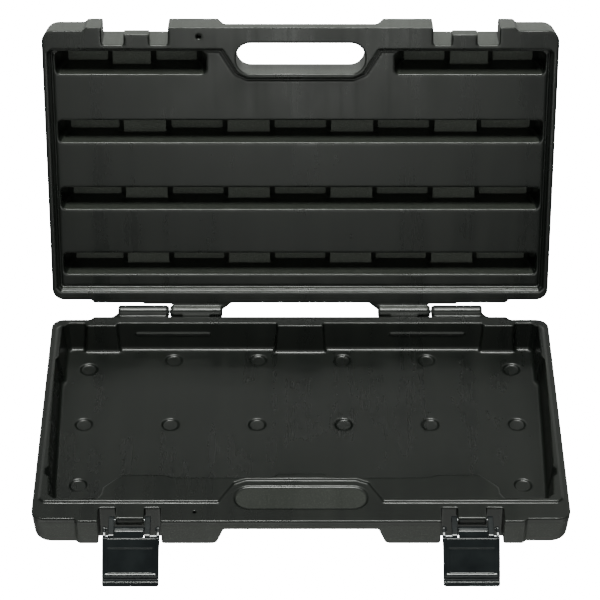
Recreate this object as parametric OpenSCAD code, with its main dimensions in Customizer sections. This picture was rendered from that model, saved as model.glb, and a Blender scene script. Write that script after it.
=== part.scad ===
// Blow-moulded carrying case of a socket wrench set, lid open, without its tools.
// Frame: origin at the centre of the base's bottom face, +X to the right, +Z up, front at -Y.

/* [Case] */
// Width of the case over its rims
case_w = 451; // [380:1:520]
// Depth of the case at its corner sections, front to back
case_d = 260; // [240:1:300]
// Height of the base half, from its bottom to the parting plane
base_h = 33.7; // [33:0.1:44]
// Height of the lid half, from the parting plane to its outer face
lid_h = 37; // [36:0.5:44]
// Radius of the four upright corners
corner_r = 10.5; // [8:0.5:20]
// How far the middle sections stand out past the corner sections
thick_out = 3; // [1:0.5:4]
// Half width of the middle sections
thick_half = 186; // [184:1:200]
// Radius of the rounded outer edges
edge_r = 11; // [6:0.5:12]
// Draft of the two end walls, in degrees
end_draft = 5; // [1:0.5:6]
// Draft of the front and back walls, in degrees
front_draft = 3; // [1:0.5:5]
// Angle that the lid opens through, from closed
lid_open = 103.3; // [0:0.1:110]

/* [Base tray] */
// Depth of the tray floor below the parting plane
tray_depth = 28.5; // [20:0.5:30]
// Draft of the tray walls, in degrees
tray_draft = 6; // [2:0.5:8]
// Radius between tray floor and walls
tray_fillet = 2.5; // [1:0.5:3]
// Height of the raised lip round the tray
lip_h = 2; // [1:0.25:3]
// Radius of the round kiss-off marks in the tray floor
dimple_r = 8; // [5:0.5:10]
// Depth of the kiss-off marks
dimple_depth = 1.6; // [0.5:0.1:3]

/* [Lid pockets] */
// Depth of the lid panel below the parting plane
panel_depth = 6; // [4:0.5:8]
// Width of a pocket row, front to back
row_w = 21.2; // [18:0.1:24]
// Distance from one pocket row to the next
row_pitch = 64.6; // [60:0.1:68]
// Depth of the shallow blocks below the panel
block_depth = 21; // [15:0.5:24]
// Depth of the cells between the blocks, below the panel
cell_depth = 29; // [24:0.5:29]

/* [Handle] */
// Width of the grip hole in the lid
grip_w = 112.4; // [100:0.1:120]
// Length of the grip hole, front to back
grip_d = 27.8; // [24:0.1:32]
// Thickness of the lid's half of the handle bar
lid_bar = 12.5; // [7:0.5:14]
// Thickness of the base's half of the handle bar
base_bar = 10.5; // [8:0.5:14]

/* [Hinges] */
// Distance of the hinge axis behind the corner sections
hinge_back = 11.1; // [11:0.1:13]
// Outer radius of the hinge knuckles
knuckle_r = 5.7; // [5:0.1:6]
// Radius of the steel hinge pins
hinge_pin_r = 1.6; // [1.2:0.1:2]

/* [Latches] */
// Distance of the latches from the middle of the case
latch_x = 142.8; // [130:0.1:150]
// Width of a latch lever
lever_w = 47; // [46:0.2:48]
// Length of a latch lever below its pivot when closed
lever_len = 41.1; // [40:0.1:45]
// Distance between the two pivots of a latch link
link_len = 16; // [15:0.1:16.5]
// Radius of the latch pins
latch_pin_r = 1.5; // [1.2:0.1:1.8]
// Angle of the link at rest, measured from upright
link_rest = 104.1; // [90:0.1:104.5]
// Angle that the lever leans out at rest, measured from closed
lever_rest = 44; // [30:0.5:44]

/* [Hidden] */

fit = 0.05;               // radial running clearance of every pin
rim_gap = 0.3;            // space between the two rims when closed
round_fn = 48;            // segments of round holes and pins
arc_n = 6;                // segments of one plan corner
hw = case_w / 2;
hd = case_d / 2;
hinge_y = hd + hinge_back;
front_y = -hd - thick_out;
base_back = thick_out + 1.1;   // how far the base's middle section stands out behind
shell_colour = [0.13, 0.14, 0.125];
latch_colour = [0.07, 0.08, 0.085];
steel_colour = [0.6, 0.6, 0.62];

// ---------------------------------------------------------------- helpers

function arc(cx, cy, r, a0, a1, n) =
    [for (i = [0:n]) let (a = a0 + (a1 - a0) * i / n) [cx + r * cos(a), cy + r * sin(a)]];

// Rounded rectangle given by its corners, counter-clockwise
function round_rect(x0, y0, x1, y1, r, n = 4) = concat(
    arc(x1 - r, y0 + r, r, -90, 0, n), arc(x1 - r, y1 - r, r, 0, 90, n),
    arc(x0 + r, y1 - r, r, 90, 180, n), arc(x0 + r, y0 + r, r, 180, 270, n));

// Right half of an outline, then its mirror image, as one closed counter-clockwise loop
function mirrored(half) = concat(half,
    [for (i = [len(half) - 1:-1:0]) [-half[i][0], half[i][1]]]);

function unit(v) = v / norm(v);

// A counter-clockwise outline drawn in by d, with mitred corners
function drawn_in(pts, d) = let (n = len(pts)) [for (i = [0:n - 1])
    let (a = unit(pts[i] - pts[(i + n - 1) % n]), b = unit(pts[(i + 1) % n] - pts[i]),
         na = [-a[1], a[0]], nb = [-b[1], b[0]])
    pts[i] + d * (na + nb) / (1 + na * nb)];

function at_z(pts, z) = [for (p = pts) [p[0], p[1], z]];

// Closed solid through a stack of rings with equal numbers of points, lowest ring first
module loft(rings) {
    n = len(rings[0]);
    m = len(rings);
    polyhedron(
        points = [for (ring = rings) each ring],
        faces = concat(
            [[for (i = [0:n - 1]) i]],
            [[for (i = [n - 1:-1:0]) (m - 1) * n + i]],
            [for (j = [0:m - 2], i = [0:n - 1]) each
                let (a = j * n + i, b = j * n + (i + 1) % n, c = b + n, d = a + n)
                [[a, d, c], [a, c, b]]]),
        convexity = 8);
}

module both_sides() {
    children();
    mirror([1, 0, 0]) children();
}

// A profile in the Y-Z plane extruded along X, centred on x
module along_x(x, width) {
    translate([x - width / 2, 0, 0]) rotate([90, 0, 90]) linear_extrude(width) children();
}

module pin_bar(x, y, z, r, length) {
    translate([x - length / 2, y, z]) rotate([0, 90, 0]) cylinder(r = r, h = length, $fn = round_fn);
}

// ---------------------------------------------------------------- the two outer halves

// Plan outline of a half, drawn in by ix at the ends and iy at the front and back;
// its middle section stands out behind by back
function case_outline(ix, iy, r, back) = mirrored(concat(
    [[thick_half, front_y + iy], [thick_half + thick_out, -hd + iy]],
    arc(hw - ix - r, -hd + iy + r, r, -90, 0, arc_n),
    arc(hw - ix - r, hd - iy - r, r, 0, 90, arc_n),
    [[thick_half + back + 1.5, hd - iy], [thick_half + 1.5, hd + back - iy]]));

// Everything on the far side of a level plane, for a clean flat face
module beyond(z, up) {
    translate([-case_w, -case_w, up ? z : z - 20]) cube([2 * case_w, 2 * case_w, 20]);
}

// The outer body of a half: rim plane at z = gap, outer face at z = height
module half_body(height, gap, back) {
    wall_top = height - edge_r;
    rim_r = 0.8;
    function ring(z, extra) = at_z(case_outline(z * tan(end_draft) + extra,
        z * tan(front_draft) + extra, corner_r, back), z);
    difference() {
        loft(concat(
            [ring(gap - rim_r, rim_r * 0.8), ring(gap + rim_r, 0)],
            [for (a = [0:15:75])
                ring(wall_top + edge_r * sin(a), edge_r * (1 - cos(a)))],
            [ring(height + 1, edge_r * 1.45)]));
        beyond(gap, false);
        beyond(height, true);
    }
}

// ---------------------------------------------------------------- base

// Raised lip: its outer step, which leads round the hand plate
lip_front = -hd + 19.3;
lip_side = hw - 5.8;
lip_outline = mirrored([[46.5, -83.4], [57, -88.2], [67.5, -107],
    [69, lip_front], [lip_side - 4, lip_front], [lip_side, lip_front + 4],
    [lip_side, 116.4], [lip_side - 3.1, 119.5]]);

// Tray mouth at the level of the lip's top
tray_back = 124.5;
tray_pad = 120.6;
tray_outline = mirrored([[20, -76.6], [24, -81.6], [107.8, -81.6],
    [114.4, -78.2], [150.9, -78.2], [158, -84.4], [167, -94], [167.6, -101],
    [171, -107], [206.5, -107], [211.7, -101.8], [214.5, -62], [216.8, 19], [218, 72],
    [215.2, 77], [215.2, 118.9], [209.6, tray_back], [195, tray_back], [193, tray_pad],
    [167, tray_pad], [165, tray_back], [21.4, tray_back],
    [20, tray_pad]]);

module tray_cut() {
    floor_z = -tray_depth;
    slope = tan(tray_draft);
    function ring(z, extra) =
        at_z(drawn_in(tray_outline, max(0, -z) * slope + extra), z);
    difference() {
        loft(concat(
            [ring(floor_z - 0.15, tray_fillet * 1.2)],
            [for (a = [67.5:-22.5:0])
                ring(floor_z + tray_fillet * (1 - sin(a)), tray_fillet * (1 - cos(a)))],
            [ring(0, 0), ring(lip_h + 1, 0)]));
        beyond(floor_z, false);
    }
}

// Outward notch in each end wall of the tray, where the insert's ear sits
module end_notch() {
    top = [[212, -82], [217, -76.5], [217, -70], [212, -62]];
    low = [[209, -81], [211.6, -76.5], [211.6, -70], [209, -63]];
    loft([at_z(low, -24), at_z(top, lip_h + 1)]);
}

// Kiss-off marks: three rows across the floor, with only the two ends in the front row
dimple_pitch = 76.5;
dimple_rows = [-59, 19, 106];
module dimples() {
    for (row = [0:2], i = [0:2])
        if (row > 0 || i == 2)
            translate([(i + 0.5) * dimple_pitch, dimple_rows[row] - (row == 2 && i == 2 ? 12.5 : 0),
                       -tray_depth - dimple_depth])
                cylinder(r1 = dimple_r - 1, r2 = dimple_r, h = dimple_depth + 1, $fn = 32);
}

// Long beads on the back wall that hold the insert down
bead_from = 82;
bead_to = 149;
module bead() {
    bead_r = 1.3;
    bead_z = -11.6;
    bead_y = tray_back - 11.6 * tan(tray_draft) + 0.3;
    pin_bar((bead_from + bead_to) / 2, bead_y, bead_z, bead_r, bead_to - bead_from);
}

// Upright recess that a latch swings in, open to the front and flared at the outer face
recess_back = -hd + 13.4;
base_recess = [143.2, 26.2];
lid_recess = [144.2, 28.8];
module latch_recess(place, height) {
    r = 2.2;
    function ring(z, grow) = at_z(concat(
        [[-place[1] - grow, front_y - 6], [place[1] + grow, front_y - 6]],
        arc(place[1] + grow - r, recess_back - r, r, 0, 90, 4),
        arc(-place[1] - grow + r, recess_back - r, r, 90, 180, 4)), z);
    translate([place[0], 0, 0])
        loft([ring(-1, 0), ring(height - 7, 0), ring(height - 3, 1.2), ring(height - 1, 3),
              ring(height + 1, 6)]);
}

// Finger recess outside the handle bar; bar is the thickness left at the parting plane
grip_back = -90.3;
module scoop(bar, height, half, back) {
    r = 4;
    depth = height - bar;
    function ring(z, grow, extra) = at_z(round_rect(-half - grow, front_y - 8,
        half + grow, grip_back + back + extra, r), z);
    loft([ring(bar, 0, 0), ring(bar + depth * 0.35, 3, 1), ring(height - 7, 6, 2),
          ring(height - 3, 9.5, 3), ring(height - 1, 12.5, 4), ring(height + 1, 17, 6)]);
}

// Grip hole, whose panel side may stand back by some amount
function grip_hole_outline(back) =
    round_rect(-grip_w / 2, grip_back - grip_d, grip_w / 2, grip_back + back, 12.5, 6);

// Pivot of the latch link in the base's tongue, relative to the parting plane
tongue_half = 12;
tongue_front = -hd + 0.5;
tongue_h = 9.2;
pivot_y = tongue_front + 3;
pivot_z = -5;

module base_tongue() {
    r = 1.4;
    along_x(latch_x, 2 * tongue_half)
        polygon(concat([[recess_back + 1, 0]], arc(tongue_front + r, -r, r, 90, 180, 5),
            arc(tongue_front + r, -tongue_h + r, r, 180, 270, 5),
            [[recess_back + 1, -tongue_h]]));
}

// Hinge knuckles: one on the base and one on the lid at each side, from x0 to x1
knuckle_out = 166;
knuckle_mid = 119;
knuckle_in = 70.8;
module knuckle(x0, x1, web) {
    collar = 2.2;
    collar_r = 5;
    bevel = 1.4;
    web_wall = hd + thick_out - 2;
    // barrel with a bevelled outer end and a thinner collar at the other
    from = web < 0 ? x0 : x0 + bevel;
    to = web < 0 ? x1 - bevel : x1;
    pin_bar((from + to) / 2, hinge_y, 0, knuckle_r, to - from);
    translate([web < 0 ? to : from, hinge_y, 0]) rotate([0, -90 * web, 0])
        cylinder(r1 = knuckle_r, r2 = knuckle_r - bevel, h = bevel, $fn = round_fn);
    inner = web < 0 ? x0 - collar / 2 : x1 + collar / 2;
    pin_bar(inner, hinge_y, 0, collar_r, collar);
    // the web that carries the knuckle, below the parting plane on the base, above it on the lid
    translate([0, 0, web < 0 ? -knuckle_r : 0.4])
        linear_extrude(knuckle_r - 0.4)
            polygon([[from, hinge_y], [from - (web > 0 ? 12 : 0), web_wall],
                     [to + (web < 0 ? 10 : 0), web_wall], [to, hinge_y]]);
}

module base_shell() {
    color(shell_colour)
    translate([0, 0, base_h])
    difference() {
        union() {
            mirror([0, 0, 1]) half_body(base_h, 0, base_back);
            translate([0, 0, -1]) linear_extrude(lip_h + 1) polygon(lip_outline);
            both_sides() knuckle(knuckle_mid + 2.6, knuckle_out, -1);
        }
        tray_cut();
        both_sides() {
            end_notch();
            dimples();
            difference() {
                mirror([0, 0, 1]) latch_recess(base_recess, base_h);
                base_tongue();
            }
            pin_bar((knuckle_mid + knuckle_out) / 2, hinge_y, 0, hinge_pin_r + fit, 80);
            pin_bar(latch_x, pivot_y, pivot_z, latch_pin_r + fit, 40);
        }
        mirror([0, 0, 1]) scoop(base_bar, base_h, 64.5, 0);
        // shallow mark of the grip hole in the hand plate
        translate([0, 0, -1.2]) linear_extrude(lip_h + 2) polygon(grip_hole_outline(0));
        // blow-pin hole in the front rim
        translate([-88.8, -121.5, -8]) cylinder(r = 1.5, h = 9, $fn = round_fn);
    }
    color(shell_colour) both_sides() translate([0, 0, base_h]) bead();
}

// ---------------------------------------------------------------- lid, drawn closed

// Step inside the lid's rim; it clears the base's lip
step_front = -hd + 17.9;
function step_outline(d) = drawn_in(mirrored([[46.1, -85.4], [55, -89.7],
    [65.4, -106.8], [68.4, step_front], [hw - 8.5, step_front], [hw - 5.2, step_front + 3.3],
    [hw - 5.2, 118.2], [hw - 8.5, 121.5]]), d);

// Rings of a pocket row at three depths below the panel
row_x0 = 82.3;
row_x1 = 214.6;
row1_y = -98;
blocks_short = [148.8];
blocks_long = [46.3, 138.7];
block_half = 18.6;

module trough(x0, x1, y) {
    r = 4.5;
    z0 = panel_depth - 3;
    z1 = panel_depth + block_depth;
    side = 1.8;
    end = 4.6;
    r_low = 2.5;
    loft([at_z(round_rect(x0, y - row_w / 2, x1, y + row_w / 2, r), z0),
          at_z(round_rect(x0, y - row_w / 2, x1, y + row_w / 2, r), panel_depth),
          at_z(round_rect(x0 + end, y - row_w / 2 + side, x1 - end, y + row_w / 2 - side, r_low), z1)]);
}

// A cell between two blocks, from the block level down; its sides taper
module cell(x0, x1, y) {
    z0 = panel_depth + block_depth - 0.5;
    z1 = panel_depth + cell_depth;
    half = row_w / 2 - 1.8;
    taper = 4.6;
    r = 2;
    loft([at_z(round_rect(x0, y - half, x1, y + half, r), z0),
          at_z(round_rect(x0 + taper, y - half + 0.7, x1 - taper, y + half - 0.7, r), z1)]);
}

// Cells lie between neighbouring block edges
module cells(edges, y) {
    for (i = [0:2:len(edges) - 1]) cell(edges[i], edges[i + 1], y);
}

module pocket_rows() {
    both_sides() {
        trough(row_x0, row_x1, row1_y);
        cells([row_x0 + 4.6, blocks_short[0] - block_half + 2, blocks_short[0] + block_half - 2,
               row_x1 - 4.6], row1_y);
    }
    for (i = [1:3]) {
        y = row1_y + i * row_pitch;
        trough(-row_x1, row_x1, y);
        cells([-blocks_long[0] + block_half, blocks_long[0] - block_half], y);
        both_sides()
            cells([blocks_long[0] + block_half, blocks_long[1] - block_half,
                   blocks_long[1] + block_half, row_x1 - 4.6], y);
    }
}

// Sealed chambers between the inner and outer skins, one in each band between two rows
grip_slope = 4.7;
module chambers() {
    skin = 2;
    chamber_half = 213;
    first = -79;
    for (i = [0:2]) {
        from = i == 0 ? first : row1_y + i * row_pitch + row_w / 2 + skin;
        to = row1_y + (i + 1) * row_pitch - row_w / 2 - skin;
        translate([-chamber_half, from, panel_depth + skin])
            cube([2 * chamber_half, to - from, lid_h - panel_depth - 2 * skin]);
    }
}

// Catch for the latch hook, left standing in the lid's recess
lid_tongue_half = 11.2;
lid_tongue_front = -hd + 3.5;
lid_tongue_h = 14;
module lid_tongue() {
    c = 1.6;
    along_x(latch_x, 2 * lid_tongue_half)
        polygon([[recess_back + 1, rim_gap], [lid_tongue_front + 0.6, rim_gap],
                 [lid_tongue_front, rim_gap + 0.6],
                 [lid_tongue_front, lid_tongue_h - c], [lid_tongue_front + c, lid_tongue_h],
                 [recess_back + 1, lid_tongue_h]]);
}

// Heel of each lid knuckle, which meets the base's back wall when the lid is fully open
module heel() {
    rotate([lid_open, 0, 0])
        translate([(knuckle_in + knuckle_mid) / 2 - 12, -hinge_back + base_back + 0.25, -6])
            cube([24, 5, 6]);
}

module lid_closed() {
    difference() {
        union() {
            half_body(lid_h, rim_gap, thick_out);
            both_sides() {
                knuckle(knuckle_in, knuckle_mid - 2.6, 1);
                // pad on the back wall over the base's knuckle
                translate([116, hd + thick_out - 2, rim_gap]) cube([26.5, 3.3, 20]);
                translate([0, hinge_y, 0]) heel();
            }
        }
        // step, groove and panel
        translate([0, 0, -1]) linear_extrude(1 + 3.2) polygon(step_outline(0));
        translate([0, 0, -1]) linear_extrude(1 + panel_depth) polygon(step_outline(2));
        difference() {
            translate([0, 0, panel_depth - 1]) linear_extrude(2.2) polygon(step_outline(2));
            translate([0, 0, panel_depth - 2]) linear_extrude(4) polygon(step_outline(3.9));
        }
        pocket_rows();
        both_sides() {
            difference() {
                latch_recess(lid_recess, lid_h);
                lid_tongue();
            }
            pin_bar((knuckle_mid + knuckle_out) / 2 - 30, hinge_y, 0, hinge_pin_r + fit, 120);
        }
        scoop(lid_bar, lid_h, 66.5, -20);
        loft([at_z(grip_hole_outline(0), -1), at_z(grip_hole_outline(grip_slope), lid_h + 1)]);
        chambers();
        translate([-88.6, -124.1, -1]) cylinder(r = 2, h = 9, $fn = round_fn);
    }
}

module lid_shell() {
    color(shell_colour)
        translate([0, hinge_y, base_h]) rotate([-lid_open, 0, 0]) translate([0, -hinge_y, 0])
            lid_closed();
}

// ---------------------------------------------------------------- hinge pins

module hinge_pin(side) {
    color(steel_colour)
        translate([0, 0, base_h])
            pin_bar(side * (knuckle_in + knuckle_out) / 2, hinge_y, 0, hinge_pin_r,
                    knuckle_out - knuckle_in - 1);
}

// ---------------------------------------------------------------- latches

arm_in = 12.7;
arm_out = 17.4;
arm_r = 3.3;
ear_in = lever_w / 2 - 2.4;
lever_shift = 1.75;       // a lever sits this much nearer the middle than its link
boss_in = arm_out + 0.6 + lever_shift;

// The link stands on its lower pivot at the origin, upright along +Z
module at_link(side) {
    translate([side * latch_x, pivot_y, base_h + pivot_z]) rotate([link_rest, 0, 0]) children();
}

// The lever is drawn as it stands when closed, with its pivot at the origin
module at_lever(side) {
    translate([side * latch_x, pivot_y - link_len * sin(link_rest),
               base_h + pivot_z + link_len * cos(link_rest)])
        rotate([-lever_rest, 0, 0]) children();
}

module link(side) {
    color(latch_colour)
    at_link(side)
    difference() {
        union() {
            both_sides()
                along_x((arm_in + arm_out) / 2, arm_out - arm_in)
                    polygon(concat(arc(0, 0, arm_r, 180, 360, 10), arc(0, link_len, arm_r, 0, 180, 10)));
            // tie between the arms, in front of both tongues
            along_x(0, 2 * arm_in + 1) polygon(round_rect(-4.9, 5.4, -2.1, 8.2, 0.8, 3));
            // cheeks that carry the tie
            both_sides()
                along_x((arm_in + arm_out) / 2, arm_out - arm_in)
                    polygon([[-3, 2], [-4.9, 5.4], [-4.9, 8.2], [-3, 12]]);
        }
        pin_bar(0, 0, 0, latch_pin_r + fit, 50);
        both_sides() pin_bar((arm_in + arm_out) / 2, 0, link_len, latch_pin_r + fit, 7);
    }
}

module link_pin(side) {
    color(steel_colour) at_link(side) pin_bar(0, 0, 0, latch_pin_r, 2 * arm_out - 0.4);
}

// Lever: -Y is outward; the plate hangs down from the pivot when closed
plate_in = -7.6;
plate_out = -10.4;
panel_out = -9.4;
plate_top = -0.8;
module lever(side) {
    color(latch_colour)
    at_lever(side)
    difference() {
        union() {
            translate([-side * lever_shift, 0, 0]) {
                // recessed panel with its step, ridge and groove
                along_x(0, 2 * ear_in + 1)
                    polygon([[plate_in, plate_top], [plate_out + 1.2, plate_top],
                             [plate_out + 0.3, plate_top - 1], [panel_out - 0.5, -9.4],
                             [panel_out, -9.9], [panel_out, -29.9], [plate_out + 0.2, -30.5],
                             [plate_out - 0.2, -31.7], [plate_out - 0.1, -33],
                             [plate_out + 0.5, -34.2], [panel_out + 0.3, -35.1],
                             [panel_out + 0.4, 3.5 - lever_len], [plate_in, 3.5 - lever_len]]);
                // finger lip across the full width
                translate([0, plate_in, 0]) rotate([90, 0, 0]) linear_extrude(plate_in - plate_out)
                    polygon(concat([[lever_w / 2, 3.7 - lever_len]],
                        [[-lever_w / 2, 3.7 - lever_len]],
                        arc(-lever_w / 2 + 2, -lever_len + 2, 2, 180, 270, 5),
                        arc(lever_w / 2 - 2, -lever_len + 2, 2, 270, 360, 5)));
                both_sides() {
                    // raised border of the panel
                    along_x(ear_in - 1, 3)
                        polygon([[plate_in, plate_top - 1], [plate_out + 0.4, plate_top - 1],
                                 [plate_out + 0.4, -32.4], [panel_out, -33.6], [plate_in, -33.6]]);
                    // side strip that turns into the ear round the pivot
                    along_x((ear_in + lever_w / 2) / 2, lever_w / 2 - ear_in)
                        polygon([[plate_out, plate_top - 0.4], [plate_out, -32.6], [plate_out + 1.2, -34.4],
                                 [plate_out + 1.4, 3.2 - lever_len], [plate_in, 3.2 - lever_len],
                                 [-6.4, -34], [-5.6, -20], [-2.4, -10], [2.2, -4.2], [3.2, -2],
                                 [3.4, 0.4], [3.1, 6.4], [2.2, 8], [0.8, 8.5], [-1.2, 8.3],
                                 [-2.4, 7.2], [-3.2, 3.4], [-4.4, 0.4], [-8.8, -0.2]]);
                    // boss inside the ear's top
                    pin_bar((boss_in + ear_in + 0.5) / 2, 0.4, 6.1, 1.6, ear_in + 0.5 - boss_in);
                }
            }
            // hook between the link's arms
            along_x(0, 2 * arm_in - 1)
                polygon(concat([[-8, -5.2], [-8, -2.6], [-6.6, -2.2], [-6.5, 4.2], [-4.8, 7.3],
                    [-1.8, 8.3]], arc(0.4, 6.1, 2.1, 80, -90, 8), [[-4.4, 4], [-4.4, -5.2]]));
        }
        translate([-side * lever_shift, 0, 0])
            both_sides() pin_bar((ear_in + lever_w / 2) / 2, 0, 0, latch_pin_r + 0.02, 4);
    }
}

module lever_pins(side) {
    color(steel_colour) at_lever(side)
        for (end = [-1, 1]) {
            reach = lever_w / 2 - 0.1 - end * side * lever_shift;
            pin_bar(end * (arm_in + 0.1 + reach) / 2, 0, 0, latch_pin_r, reach - arm_in - 0.1);
        }
}

base_shell();
lid_shell();
hinge_pin(-1);  // hinge_pin_left
hinge_pin(1);  // hinge_pin_right
link(-1);  // link_left
link(1);  // link_right
link_pin(-1);  // link_pin_left
link_pin(1);  // link_pin_right
lever(-1);  // lever_left
lever(1);  // lever_right
lever_pins(-1);  // lever_pins_left
lever_pins(1);  // lever_pins_right
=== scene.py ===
"""Looks of the open moulded tool case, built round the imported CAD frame. Metres throughout."""

import math

import bmesh
import bpy
from mathutils import Matrix, Vector


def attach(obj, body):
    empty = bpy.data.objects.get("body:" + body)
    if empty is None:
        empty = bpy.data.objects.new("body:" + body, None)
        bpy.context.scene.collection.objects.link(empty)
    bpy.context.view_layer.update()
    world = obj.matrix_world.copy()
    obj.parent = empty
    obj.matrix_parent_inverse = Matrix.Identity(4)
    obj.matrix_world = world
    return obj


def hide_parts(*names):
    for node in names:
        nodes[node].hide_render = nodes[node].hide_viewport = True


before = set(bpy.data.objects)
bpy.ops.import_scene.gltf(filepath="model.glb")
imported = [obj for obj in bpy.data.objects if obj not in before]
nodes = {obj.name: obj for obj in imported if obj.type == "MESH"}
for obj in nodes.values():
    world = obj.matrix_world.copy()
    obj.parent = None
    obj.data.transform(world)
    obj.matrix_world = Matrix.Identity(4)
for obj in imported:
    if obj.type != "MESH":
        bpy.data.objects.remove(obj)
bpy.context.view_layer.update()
scene = bpy.context.scene

MM = 0.001

# The case, as part.scad has it
BASE_H = 33.7 * MM
HINGE_Y = 141.1 * MM
LID_OPEN = math.radians(103.3)
LINK_TILT = math.radians(14.1)
LEVER_TILT = math.radians(-44)

# The long mark on the hand plate: its middle, half its straight length, its end radius and its soft edge
PLATE_Y, PLATE_HALF, PLATE_R = -104.2 * MM, 42.5 * MM, 12.5 * MM
MARK_EDGE = 0.8 * MM

# Where the grain, and on the lid the painted light, begins or ends, each as a soft step from one value to the other
PLATE_TOP_Z = (0.018, 0.020)
FRONT_WALL_Y = (-0.1275, -0.1262)
FRONT_WALL_Z = (0.027, 0.030)
BLOCK_DEPTH = (14 * MM, 18 * MM)
BLOCK_FACING = (0.75, 0.9)
UPWARD_FACING = (0.80, 0.93)

# How strong the grain is on each of them; on the lid's up-facing walls it also stands for painted light from above
MARK_GRAIN = 0.2
FRONT_WALL_GRAIN = 0.35
LID_TOP_GRAIN_AND_LIGHT = 0.3

# How a moulding is softened: its voxels, its smoothing steps, and the triangles it is thinned to
SHELL_SOFT = (0.8 * MM, 6, 190000)
LINK_SOFT = (0.35 * MM, 2, 16000)
LEVER_SOFT = (0.35 * MM, 2, 40000)
SETTLE_STEPS = 2
SAME_PLACE = 1e-7

# The camera, as fitted to the photograph: yaw, downward pitch and roll in degrees, and its place
PHOTO_WIDTH = 600
FOCAL_PIXELS = 2589.58
SENSOR = 36
CAMERA_TURN = (0.2557, 39.2444, 0.1587)
CAMERA_PLACE = (-0.008302, -1.683033, 1.537252)

# Light. The room's brightness goes by height, in degrees from the front horizon over the top to the back one,
# and falls off towards the sides
WHITE = 20.0
LAMP_TINT = (0.97, 1.0, 0.95)
ROOM_TINT = (0.96, 1.0, 0.94, 1)
ROOM_TOP = 1.5
ROOM = ((-90, 0.3), (-66, 0.6), (-57, 1.5), (-46, 1.5), (-40, 0.5), (-30, 0.1), (-6, 0.06), (2, 0.6), (12, 1.4),
        (26, 1.3), (36, 0.12), (54, 0.1), (64, 0.2), (80, 0.35), (100, 0.35), (140, 0.45), (155, 1.1), (165, 1.3),
        (178, 1.1), (200, 0.35))
SIDE_FROM = (0.45, 0.85)
SIDE_SHARE = 0.4
FLOOR_REACH = 4.0
FLOOR_Z = -0.0004

# Colours
FLOOR_GREY = (0.8, 0.8, 0.8, 1)
SHELL_DARK, SHELL_LIGHT = (0.0032, 0.0042, 0.0036), (0.0072, 0.0085, 0.0070)
# A lighter colour on sharp edges: a painted highlight, partly wear
EDGE_WEAR_AND_HIGHLIGHT = (0.085, 0.092, 0.082)
CAST_AND_LIT_FACE = (0.062, 0.068, 0.058)
CAST_FLECK = (0.075, 0.082, 0.070)
LATCH_DARK, LATCH_LIGHT = (0.0045, 0.006, 0.007), (0.0075, 0.010, 0.011)
STEEL_DARK, STEEL_LIGHT = (0.20, 0.21, 0.22), (0.42, 0.43, 0.44)

# How much the noise of the draw streaks is squeezed along x, y and z, and how much finer the fine ones are
BASE_STREAKS = (70, 1.5, 1)
LID_STREAKS = (70, 1, 1.3)
FINE_STREAKS = 3.4


# ------------------------------------------------------------------ camera
def add_camera():
    yaw, pitch, roll = (math.radians(a) for a in CAMERA_TURN)
    forward = Vector((math.sin(yaw) * math.cos(pitch), math.cos(yaw) * math.cos(pitch), -math.sin(pitch)))
    level = Vector((math.cos(yaw), -math.sin(yaw), 0))
    upright = level.cross(forward)
    right = level * math.cos(roll) + upright * math.sin(roll)
    up = -level * math.sin(roll) + upright * math.cos(roll)
    data = bpy.data.cameras.new("camera")
    data.sensor_width = SENSOR
    data.lens = SENSOR * FOCAL_PIXELS / PHOTO_WIDTH
    data.clip_end = 20
    camera = bpy.data.objects.new("camera", data)
    turn = Matrix((right, up, -forward)).transposed().to_4x4()
    camera.matrix_world = Matrix.Translation(CAMERA_PLACE) @ turn
    scene.collection.objects.link(camera)
    scene.camera = camera


# ------------------------------------------------------------------ short ways to add shader nodes
def add_maths(tree, operation, a, b=0):
    """A sum on two values, each a number or a socket."""
    node = tree.nodes.new("ShaderNodeMath")
    node.operation = operation
    for socket, value in zip(node.inputs, (a, b)):
        if isinstance(value, (int, float)):
            socket.default_value = value
        else:
            tree.links.new(value, socket)
    return node.outputs[0]


def add_spread(tree, value, old, new):
    """Moves a value from the range old to the range new, and holds it at their ends."""
    node = tree.nodes.new("ShaderNodeMapRange")
    node.inputs["From Min"].default_value, node.inputs["From Max"].default_value = old
    node.inputs["To Min"].default_value, node.inputs["To Max"].default_value = new
    tree.links.new(value, node.inputs["Value"])
    return node.outputs["Result"]


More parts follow.
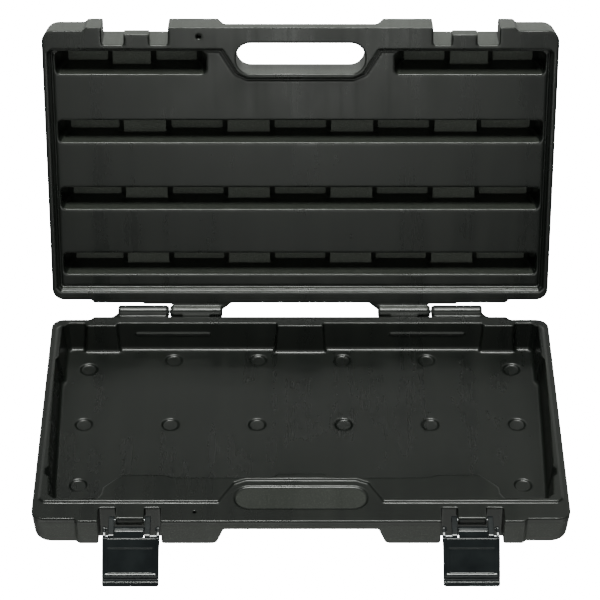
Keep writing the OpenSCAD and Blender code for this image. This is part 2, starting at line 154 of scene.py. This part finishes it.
class Shader:
    """A material's node tree, with short ways to add and join nodes."""

    def __init__(self, name):
        self.material = bpy.data.materials.new(name)
        self.material.use_nodes = True
        self.tree = self.material.node_tree
        self.bsdf = self.tree.nodes["Principled BSDF"]
        self.place = self.add("ShaderNodeTexCoord").outputs["Object"]

    def add(self, kind):
        return self.tree.nodes.new(kind)

    def join(self, source, target):
        self.tree.links.new(source, target)

    def finish(self, socket, value):
        """Leads a value to a socket of the material's own shader."""
        self.join(value, self.bsdf.inputs[socket])

    def maths(self, operation, a, b=0):
        return add_maths(self.tree, operation, a, b)

    def spread(self, value, old, new):
        return add_spread(self.tree, value, old, new)

    def split(self, vector):
        node = self.add("ShaderNodeSeparateXYZ")
        self.join(vector, node.inputs[0])
        return node.outputs

    def noise(self, scale, detail, roughness, stretch=(1, 1, 1)):
        mapping = self.add("ShaderNodeMapping")
        mapping.inputs["Scale"].default_value = stretch
        self.join(self.place, mapping.inputs["Vector"])
        node = self.add("ShaderNodeTexNoise")
        node.inputs["Scale"].default_value = scale
        node.inputs["Detail"].default_value = detail
        node.inputs["Roughness"].default_value = roughness
        self.join(mapping.outputs[0], node.inputs["Vector"])
        return node.outputs["Fac"]

    def blend(self, factor, a, b):
        """A mix of two colours, each a tuple or a socket."""
        node = self.add("ShaderNodeMix")
        node.data_type = "RGBA"
        self.join(factor, node.inputs["Factor"])
        for socket, value in ((node.inputs["A"], a), (node.inputs["B"], b)):
            if isinstance(value, tuple):
                socket.default_value = (*value, 1)
            else:
                self.join(value, socket)
        return node.outputs["Result"]

    def bump(self, height, strength, distance, below=None):
        node = self.add("ShaderNodeBump")
        node.inputs["Strength"].default_value = strength
        node.inputs["Distance"].default_value = distance
        self.join(height, node.inputs["Height"])
        if below is not None:
            self.join(below, node.inputs["Normal"])
        return node.outputs["Normal"]


# ------------------------------------------------------------------ light and floor
def add_area(name, size, power, place, target):
    """A rectangular lamp, which lights the case but isn't seen itself."""
    data = bpy.data.lights.new(name, "AREA")
    data.shape = "RECTANGLE"
    data.size, data.size_y = size
    data.energy = power
    data.color = LAMP_TINT
    lamp = bpy.data.objects.new(name, data)
    lamp.location = place
    lamp.rotation_euler = (Vector(target) - Vector(place)).to_track_quat("-Z", "Y").to_euler()
    lamp.visible_camera = False
    scene.collection.objects.link(lamp)


def add_world():
    """A white studio, with the brighter and darker bands that the case mirrors, and pure white where it is seen."""
    world = bpy.data.worlds.new("studio")
    scene.world = world
    world.use_nodes = True
    tree = world.node_tree
    tree.nodes.clear()

    split = tree.nodes.new("ShaderNodeSeparateXYZ")
    tree.links.new(tree.nodes.new("ShaderNodeTexCoord").outputs["Generated"], split.inputs[0])
    angle = add_maths(tree, "ARCTAN2", split.outputs["Z"], add_maths(tree, "MULTIPLY", split.outputs["Y"], -1.0))
    turn = add_maths(tree, "FLOORED_MODULO", add_maths(tree, "ADD", angle, math.pi / 2), 2 * math.pi)
    ramp = tree.nodes.new("ShaderNodeValToRGB")
    tree.links.new(add_maths(tree, "DIVIDE", turn, 2 * math.pi), ramp.inputs["Fac"])
    stops = ramp.color_ramp.elements
    while len(stops) > 1:
        stops.remove(stops[-1])
    for index, (degrees, level) in enumerate(ROOM):
        place = (degrees + 90) / 360
        stop = stops[0] if index == 0 else stops.new(place)
        stop.position = place
        stop.color = (level / ROOM_TOP,) * 3 + (1,)
    side = add_spread(tree, add_maths(tree, "ABSOLUTE", split.outputs["X"]), SIDE_FROM, (1, SIDE_SHARE))
    level = add_maths(tree, "MULTIPLY", add_maths(tree, "MULTIPLY", ramp.outputs["Color"], side), ROOM_TOP)

    room = tree.nodes.new("ShaderNodeBackground")
    room.inputs["Color"].default_value = ROOM_TINT
    tree.links.new(level, room.inputs["Strength"])
    seen = tree.nodes.new("ShaderNodeBackground")
    seen.inputs["Strength"].default_value = WHITE
    mix = tree.nodes.new("ShaderNodeMixShader")
    path = tree.nodes.new("ShaderNodeLightPath")
    tree.links.new(path.outputs["Is Camera Ray"], mix.inputs["Fac"])
    tree.links.new(room.outputs[0], mix.inputs[1])
    tree.links.new(seen.outputs[0], mix.inputs[2])
    tree.links.new(mix.outputs[0], tree.nodes.new("ShaderNodeOutputWorld").inputs[0])


def add_floor():
    """The plain white table. It is a card for the eye alone, since the room already holds the light it returns."""
    mesh = bpy.data.meshes.new("floor")
    corners = ((-1, -1), (1, -1), (1, 1), (-1, 1))
    mesh.from_pydata([(x * FLOOR_REACH, y * FLOOR_REACH, FLOOR_Z) for x, y in corners], [], [(0, 1, 2, 3)])
    floor = bpy.data.objects.new("floor", mesh)
    scene.collection.objects.link(floor)
    material = bpy.data.materials.new("white_floor")
    material.use_nodes = True
    bsdf = material.node_tree.nodes["Principled BSDF"]
    bsdf.inputs["Base Color"].default_value = FLOOR_GREY
    bsdf.inputs["Emission Color"].default_value = (1, 1, 1, 1)
    bsdf.inputs["Emission Strength"].default_value = WHITE
    mesh.materials.append(material)
    floor.visible_diffuse = False
    floor.visible_glossy = False
    floor.visible_shadow = False


# ------------------------------------------------------------------ materials
def shell_material(name, streaks, grain_and_light_faces):
    """Satin olive-black polyethylene: clouding, long draw streaks, edges lightened as scuffs and as a painted
    highlight, and a grain from the mould whose lighter colour also paints light onto the lid's up-facing walls and
    block faces.
    """
    s = Shader(name)
    cloud = s.noise(7, 4, 0.55)
    smudge = s.noise(26, 5, 0.65, (1, 0.6, 0.6))
    streak = s.noise(1, 1.5, 0.6, streaks)
    fine = s.noise(1, 2, 0.6, (FINE_STREAKS * streaks[0], *streaks[1:]))
    fleck = s.noise(650, 3, 0.7)
    ripple = s.noise(1900, 2, 0.5)
    grain_and_light_mask = grain_and_light_faces(s)

    shade = s.maths("ADD", s.spread(cloud, (0.3, 0.7), (0, 0.5)), s.spread(streak, (0.35, 0.68), (0, 0.5)))
    plain = s.blend(shade, SHELL_DARK, SHELL_LIGHT)
    # Painted highlight, partly wear: sharp edges, found by pointiness and broken up by the smudge noise, get a
    # lighter colour
    edge = s.spread(s.add("ShaderNodeNewGeometry").outputs["Pointiness"], (0.530, 0.600), (0, 1))
    worn_and_lit = s.blend(s.maths("MULTIPLY", edge, s.spread(smudge, (0.4, 0.62), (0.25, 1))), plain, EDGE_WEAR_AND_HIGHLIGHT)
    # The lighter grain colour, which on the lid is also painted light on up-facing walls and block faces
    cast_and_lit = s.blend(s.maths("MULTIPLY", grain_and_light_mask, 0.9), worn_and_lit, CAST_AND_LIT_FACE)
    speck = s.maths("MULTIPLY", grain_and_light_mask, s.spread(fleck, (0.52, 0.66), (0, 1.5)))
    s.finish("Base Color", s.blend(speck, cast_and_lit, CAST_FLECK))

    rough = s.maths("ADD", s.spread(cloud, (0.3, 0.7), (0.25, 0.31)), s.spread(streak, (0.3, 0.7), (-0.03, 0.03)))
    rough = s.maths("ADD", rough, s.spread(smudge, (0.35, 0.7), (-0.02, 0.05)))
    rough = s.maths("ADD", rough, s.maths("MULTIPLY", s.spread(fine, (0.5, 0.7), (0, 1)), 0.03))
    s.finish("Roughness", s.maths("ADD", rough, s.maths("MULTIPLY", grain_and_light_mask, 0.3)))

    s.finish("Normal", s.bump(s.maths("MULTIPLY", grain_and_light_mask, fleck), 0.9, 0.0009, s.bump(ripple, 0.08, 0.00005)))
    return s.material


def lid_grain_and_light(s):
    """The lid's up-facing outer walls, the floor of its grip hole, and the faces of the blocks in its pocket rows,
    which get grain and a lighter colour that is painted light.
    """
    normal = s.split(s.add("ShaderNodeNewGeometry").outputs["True Normal"])
    place = s.split(s.place)
    in_y, in_z = math.sin(LID_OPEN), math.cos(LID_OPEN)
    depth = s.maths("ADD", s.maths("MULTIPLY", s.maths("SUBTRACT", place["Y"], HINGE_Y), in_y),
                    s.maths("MULTIPLY", s.maths("SUBTRACT", place["Z"], BASE_H), in_z))
    facing = s.maths("ADD", s.maths("MULTIPLY", normal["Y"], -in_y), s.maths("MULTIPLY", normal["Z"], -in_z))
    # Painted light as well as grain: the block faces deep in the pocket rows get the lighter colour where light
    # reaches them poorly
    block = s.maths("MULTIPLY", s.spread(depth, BLOCK_DEPTH, (0, 1)), s.spread(facing, BLOCK_FACING, (0, 1)))
    # Painted top light as well as grain: lid walls facing up get the lighter colour
    return s.maths("MAXIMUM", s.spread(normal["Z"], UPWARD_FACING, (0, LID_TOP_GRAIN_AND_LIGHT)), block)


def base_grain(s):
    """The base's outer front walls, and the long mark on its hand plate."""
    place = s.split(s.place)
    across = s.maths("ABSOLUTE", place["X"])
    ahead = s.maths("ABSOLUTE", s.maths("SUBTRACT", place["Y"], PLATE_Y))
    past = s.maths("MAXIMUM", s.maths("SUBTRACT", across, PLATE_HALF), 0)
    reach = s.maths("SQRT", s.maths("ADD", s.maths("MULTIPLY", past, past), s.maths("MULTIPLY", ahead, ahead)))
    mark = s.maths("MULTIPLY", s.spread(reach, (PLATE_R - MARK_EDGE, PLATE_R), (MARK_GRAIN, 0)),
                   s.spread(place["Z"], PLATE_TOP_Z, (0, 1)))
    wall = s.maths("MULTIPLY", s.spread(place["Y"], FRONT_WALL_Y, (1, 0)), s.spread(place["Z"], FRONT_WALL_Z, (1, 0)))
    return s.maths("MAXIMUM", mark, s.maths("MULTIPLY", wall, FRONT_WALL_GRAIN))


def latch_material(name):
    """Smooth injection-moulded latch plastic, a little glossier and bluer than the shells."""
    s = Shader(name)
    cloud = s.noise(60, 3, 0.5)
    s.finish("Base Color", s.blend(s.spread(cloud, (0.3, 0.7), (0, 1)), LATCH_DARK, LATCH_LIGHT))
    s.finish("Roughness", s.spread(cloud, (0.3, 0.7), (0.17, 0.23)))
    s.finish("Normal", s.bump(s.noise(2200, 2, 0.5), 0.08, 0.00004))
    return s.material


def steel_material(name):
    """Dull drawn steel wire."""
    s = Shader(name)
    drawn = s.noise(300, 3, 0.6, (1, 12, 12))
    s.finish("Base Color", s.blend(drawn, STEEL_DARK, STEEL_LIGHT))
    s.bsdf.inputs["Metallic"].default_value = 1.0
    s.finish("Roughness", s.spread(drawn, (0.3, 0.7), (0.3, 0.45)))
    return s.material


# ------------------------------------------------------------------ pieces
def set_material(obj, material):
    obj.data.materials.clear()
    obj.data.materials.append(material)


def drop_inner_shells(work):
    """Keeps only the widest shell, because the sealed chambers inside it are never seen."""
    unseen, shells = set(work.verts), []
    while unseen:
        shell, edge = set(), [unseen.pop()]
        while edge:
            vert = edge.pop()
            shell.add(vert)
            for link in vert.link_edges:
                other = link.other_vert(vert)
                if other in unseen:
                    unseen.discard(other)
                    edge.append(other)
        shells.append(shell)
    shells.sort(key=lambda shell: max(v.co.x for v in shell) - min(v.co.x for v in shell))
    bmesh.ops.delete(work, geom=[v for shell in shells[:-1] for v in shell], context="VERTS")


def add_smooth(obj, name, steps):
    smooth = obj.modifiers.new(name, "SMOOTH")
    smooth.factor = 0.5
    smooth.iterations = steps


def soft_copy(node, soft, turned):
    """A copy of a CAD node whose edges are rounded as a mould leaves them.

    The solid is turned back by turned, so that the voxels lie along it, and then remeshed, drawn onto its own
    sharp surface, smoothed and thinned.
    """
    voxel, steps, triangles = soft
    mesh = nodes[node].data.copy()
    work = bmesh.new()
    work.from_mesh(mesh)
    bmesh.ops.remove_doubles(work, verts=work.verts, dist=SAME_PLACE)
    drop_inner_shells(work)
    work.transform(Matrix.Rotation(-turned, 4, "X"))
    work.to_mesh(mesh)
    work.free()
    obj = bpy.data.objects.new(node + "_moulded", mesh)
    sharp = bpy.data.objects.new("sharp", mesh.copy())
    scene.collection.objects.link(obj)
    scene.collection.objects.link(sharp)

    remesh = obj.modifiers.new("remesh", "REMESH")
    remesh.mode = "VOXEL"
    remesh.voxel_size = voxel
    remesh.adaptivity = 0
    wrap = obj.modifiers.new("wrap", "SHRINKWRAP")
    wrap.target = sharp
    add_smooth(obj, "relax", steps)
    thin = obj.modifiers.new("thin", "DECIMATE")
    add_smooth(obj, "settle", SETTLE_STEPS)

    graph = bpy.context.evaluated_depsgraph_get()
    thin.show_viewport = False
    graph.update()
    count = len(obj.evaluated_get(graph).data.polygons) * 2
    thin.show_viewport = True
    thin.ratio = min(1.0, triangles / count)
    graph.update()
    done = bpy.data.meshes.new_from_object(obj.evaluated_get(graph), depsgraph=graph)
    obj.modifiers.clear()
    done.transform(Matrix.Rotation(turned, 4, "X"))
    obj.data = done
    for face in done.polygons:
        face.use_smooth = True
    bpy.data.objects.remove(sharp)
    flatten = obj.modifiers.new("flatten", "WEIGHTED_NORMAL")
    flatten.weight = 50
    return obj


add_camera()
add_world()
add_floor()
add_area("key", (1.1, 0.55), 74, (0.0, -0.27, 2.2), (0, 0.05, 0.1))
add_area("glow", (0.55, 0.5), 4.2, (0.0, -2.4, 0.12), (0, 0.15, 0.25))

shell_base = shell_material("shell_base", BASE_STREAKS, base_grain)
shell_lid = shell_material("shell_lid", LID_STREAKS, lid_grain_and_light)
latch_plastic = latch_material("latch_plastic")
steel = steel_material("steel_wire")

for node, body, material, turned in (
    ("base_shell", "base", shell_base, 0),
    ("lid_shell", "lid", shell_lid, -LID_OPEN),
):
    piece = soft_copy(node, SHELL_SOFT, turned)
    set_material(piece, material)
    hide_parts(node)
    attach(piece, body)

for side in ("left", "right"):
    for part, soft, turned in (("link", LINK_SOFT, LINK_TILT), ("lever", LEVER_SOFT, LEVER_TILT)):
        node = part + "_" + side
        piece = soft_copy(node, soft, turned)
        set_material(piece, latch_plastic)
        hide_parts(node)
        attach(piece, node)
    for node in ("hinge_pin_", "link_pin_", "lever_pins_"):
        set_material(nodes[node + side], steel)
